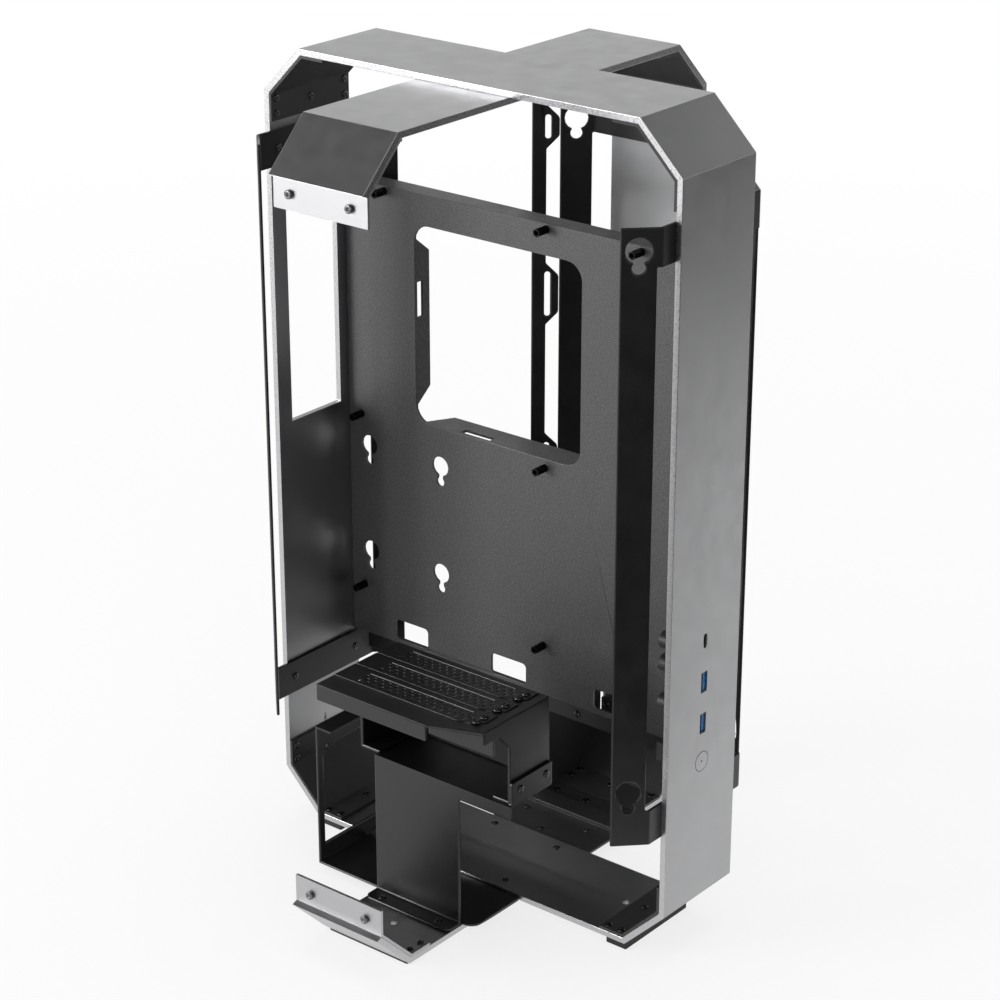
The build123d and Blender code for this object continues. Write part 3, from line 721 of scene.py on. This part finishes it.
@dataclass
class Pads:
    """The four rubber pads."""

    names: tuple[str, ...] = ("pad_rear", "pad_front", "pad_far", "pad_near")
    edge: float = 0.0005
    rubber: MouldedPlastic = MouldedPlastic("pad_rubber", (0.010, 0.010, 0.010), roughness=0.7, grain=700.0)

    def build(self, frame: dict) -> None:
        """Dresses the pads.
        """
        dress(self.names, frame, self.rubber.build(), self.edge)


@dataclass
class Fasteners:
    """Every set of screws on the case."""

    sets: tuple[tuple[str, Recess, Side], ...] = (
        ("join_screws", Recess.HEX, Side.INWARD),
        ("crossing_screws", Recess.CROSS, Side.INWARD),
        ("frame_screws", Recess.HEX, Side.INWARD),
        ("rail_screws", Recess.CROSS, Side.INWARD),
        ("floor_screws", Recess.CROSS, Side.INWARD),
        ("support_screws", Recess.CROSS, Side.FORWARD),
        ("slot_screws", Recess.CROSS, Side.INWARD),
    )
    plating: PlatedSteel = PlatedSteel("black_screw", (0.095, 0.095, 0.097), roughness=0.2)

    def build(self, frame: dict) -> None:
        """Builds the detailed heads.
        """
        black = self.plating.build()
        for node, recess, side in self.sets:
            Screws(node, recess, side).build(frame, black)


@dataclass(frozen=True)
class Lamp:
    """A square soft lamp that looks at the case."""

    name: str
    place: Point
    size: float
    power: float
    mirrored: bool
    aim: Point = (0.0, 0.0, 0.25)

    def build(self) -> None:
        """Builds the lamp."""
        light = bpy.data.lights.new(self.name, "AREA")
        light.size = self.size
        light.energy = self.power
        stand = bpy.data.objects.new(self.name, light)
        stand.location = self.place
        look = Vector(self.aim) - stand.location
        stand.rotation_euler = look.to_track_quat("-Z", "Y").to_euler()
        stand.visible_glossy = self.mirrored
        bpy.context.scene.collection.objects.link(stand)


@dataclass(frozen=True)
class Card:
    """A studio card, dark or pale, that only shows softly in the metal's reflections."""

    name: str
    outline: tuple[Point, ...]
    grey: float
    patches: float = 0.7
    wander: Span = (0.9, 1.1)

    def build(self) -> None:
        """Builds the card, seen only in reflections."""
        data = bpy.data.meshes.new(self.name)
        data.from_pydata(self.outline, [], [tuple(range(len(self.outline)))])
        card = bpy.data.objects.new(self.name, data)
        bpy.context.scene.collection.objects.link(card)
        shader = Shader(self.name)
        darkest, palest = (self.grey * share for share in self.wander)
        shade = shader.ranged(shader.noise(self.patches), darkest, palest)
        glow = shader.nodes.new("ShaderNodeEmission")
        shader.links.new(shade, glow.inputs["Strength"])
        shader.links.new(glow.outputs[0], shader.output.inputs["Surface"])
        data.materials.append(shader.material)
        card.visible_camera = False
        card.visible_diffuse = False
        card.visible_shadow = False
        card.visible_transmission = False


@dataclass
class Studio:
    """White floor, even surroundings, soft lamps and cards.

    The floor glows by a share that rises from near_glow to 1 between the two distances of shadow_reach.
    """

    lamps: tuple[Lamp, ...] = (
        Lamp("key", (-2.4, 1.7, 0.8), 1.3, 53.0, True),
        Lamp("front", (-1.6, -2.6, 2.2), 1.6, 14.0, False),
        Lamp("top", (0.3, 0.2, 3.0), 2.2, 38.0, False),
    )
    cards: tuple[Card, ...] = (
        Card("floor_card", ((-9.0, -0.2, 0.0), (-9.0, -9.0, 0.0), (9.0, -9.0, 0.0), (9.0, -0.84, 0.0),
                            (0.78, -0.84, 0.0), (0.1, -0.36, 0.0), (-0.3, -0.26, 0.0)), 0.04),
        Card("ceiling_card", ((-4.0, -4.0, 2.4), (3.2, -4.0, 2.4), (3.2, 3.0, 2.4), (-4.0, 3.6, 2.4)), 0.12),
        Card("rear_card", ((0.12, 0.5, 0.0), (0.55, 0.02, 0.0), (0.55, 0.02, 0.34), (0.12, 0.5, 0.34)), 0.03),
        Card("pale_card", ((0.75, 0.95, 2.1), (1.45, 0.95, 2.1), (1.45, 1.75, 2.1), (0.75, 1.75, 2.1)), 2.2),
    )
    ambient: float = 0.5
    floor_size: float = 30.0
    floor_drop: float = 0.0002
    paper: float = 0.86
    paper_roughness: float = 0.9
    near_glow: float = 0.78
    shadow_reach: Span = (0.35, 1.8)

    def build(self) -> None:
        """Builds the world, the floor, the lamps and the cards."""
        self._world()
        self._floor()
        for item in self.lamps + self.cards:
            item.build()

    @staticmethod
    def _seen(nodes: bpy.types.Nodes, links: bpy.types.NodeLinks) -> bpy.types.NodeSocket:
        """Finds where the surroundings are seen, directly or in a reflection.

        Args:
            nodes: the nodes of a world or material.
            links: its links.

        Returns:
            A socket that is 1 there and 0 elsewhere.
        """
        path = nodes.new("ShaderNodeLightPath")
        total = path.outputs["Is Camera Ray"]
        for name in ("Is Glossy Ray", "Is Transmission Ray"):
            larger = nodes.new("ShaderNodeMath")
            larger.operation = "MAXIMUM"
            links.new(total, larger.inputs[0])
            links.new(path.outputs[name], larger.inputs[1])
            total = larger.outputs[0]
        return total

    def _world(self) -> None:
        """Makes the surroundings white where they are seen and dimmer where they light."""
        world = bpy.data.worlds.new("studio")
        bpy.context.scene.world = world
        world.use_nodes = True
        nodes, links = world.node_tree.nodes, world.node_tree.links
        nodes.clear()
        output = nodes.new("ShaderNodeOutputWorld")
        dim = nodes.new("ShaderNodeBackground")
        dim.inputs["Strength"].default_value = self.ambient
        white = nodes.new("ShaderNodeBackground")
        for shade in (dim, white):
            shade.inputs["Color"].default_value = (1.0, 1.0, 1.0, 1.0)
        mix = nodes.new("ShaderNodeMixShader")
        links.new(self._seen(nodes, links), mix.inputs["Fac"])
        links.new(dim.outputs[0], mix.inputs[1])
        links.new(white.outputs[0], mix.inputs[2])
        links.new(mix.outputs[0], output.inputs["Surface"])

    def _floor(self) -> None:
        """Builds a pale floor that keeps a faint shadow near the case and fades to white away from it."""
        mesh = bmesh.new()
        bmesh.ops.create_grid(mesh, x_segments=1, y_segments=1, size=self.floor_size / 2)
        data = bpy.data.meshes.new("floor")
        mesh.to_mesh(data)
        mesh.free()
        floor = bpy.data.objects.new("floor", data)
        floor.location.z = -self.floor_drop
        bpy.context.scene.collection.objects.link(floor)
        shader = Shader("floor_paper")
        shader.set(Base_Color=(self.paper, self.paper, self.paper, 1.0), Roughness=self.paper_roughness)
        glow = shader.nodes.new("ShaderNodeEmission")
        glow.inputs["Strength"].default_value = 1.0
        mix = shader.nodes.new("ShaderNodeMixShader")
        distance = shader.nodes.new("ShaderNodeVectorMath")
        distance.operation = "LENGTH"
        shader.links.new(shader.position, distance.inputs[0])
        share = shader.nodes.new("ShaderNodeMath")
        share.operation = "MULTIPLY"
        fading = shader.ranged(distance.outputs["Value"], self.near_glow, 1.0, *self.shadow_reach)
        shader.links.new(self._seen(shader.nodes, shader.links), share.inputs[0])
        shader.links.new(fading, share.inputs[1])
        shader.links.new(share.outputs[0], mix.inputs["Fac"])
        shader.links.new(shader.surface.outputs["BSDF"], mix.inputs[1])
        shader.links.new(glow.outputs[0], mix.inputs[2])
        shader.links.new(mix.outputs[0], shader.output.inputs["Surface"])
        data.materials.append(shader.material)


@dataclass
class Viewpoint:
    """The camera, looking down at the front near corner; its heading runs from +Y towards +X, in degrees."""

    place: Point = (-1.249, -1.012, 0.934)
    heading: float = 50.98
    down: float = 22.65
    lens: float = 99.5
    sensor: float = 36.0
    reach: float = 100.0

    def build(self) -> None:
        """Builds the camera."""
        data = bpy.data.cameras.new("camera")
        data.lens = self.lens
        data.sensor_width = self.sensor
        data.clip_end = self.reach
        camera = bpy.data.objects.new("camera", data)
        camera.location = self.place
        heading, down = math.radians(self.heading), math.radians(self.down)
        level = math.cos(down)
        look = Vector((math.sin(heading) * level, math.cos(heading) * level, -math.sin(down)))
        camera.rotation_euler = look.to_track_quat("-Z", "Y").to_euler()
        bpy.context.scene.collection.objects.link(camera)
        bpy.context.scene.camera = camera


def main() -> None:
    """Loads the frame and builds the scene around it."""
    logging.basicConfig(level=logging.INFO, format="%(name)s: %(message)s")
    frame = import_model()
    Viewpoint().build()
    Studio().build()
    for group in (Hoops(), CornerPlates(), SteelWork(), Tray(), FrontPorts(), Pads(), Fasteners()):
        group.build(frame)
    bpy.context.scene.view_settings.view_transform = "Standard"
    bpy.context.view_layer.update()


if __name__ == "__main__":
    main()
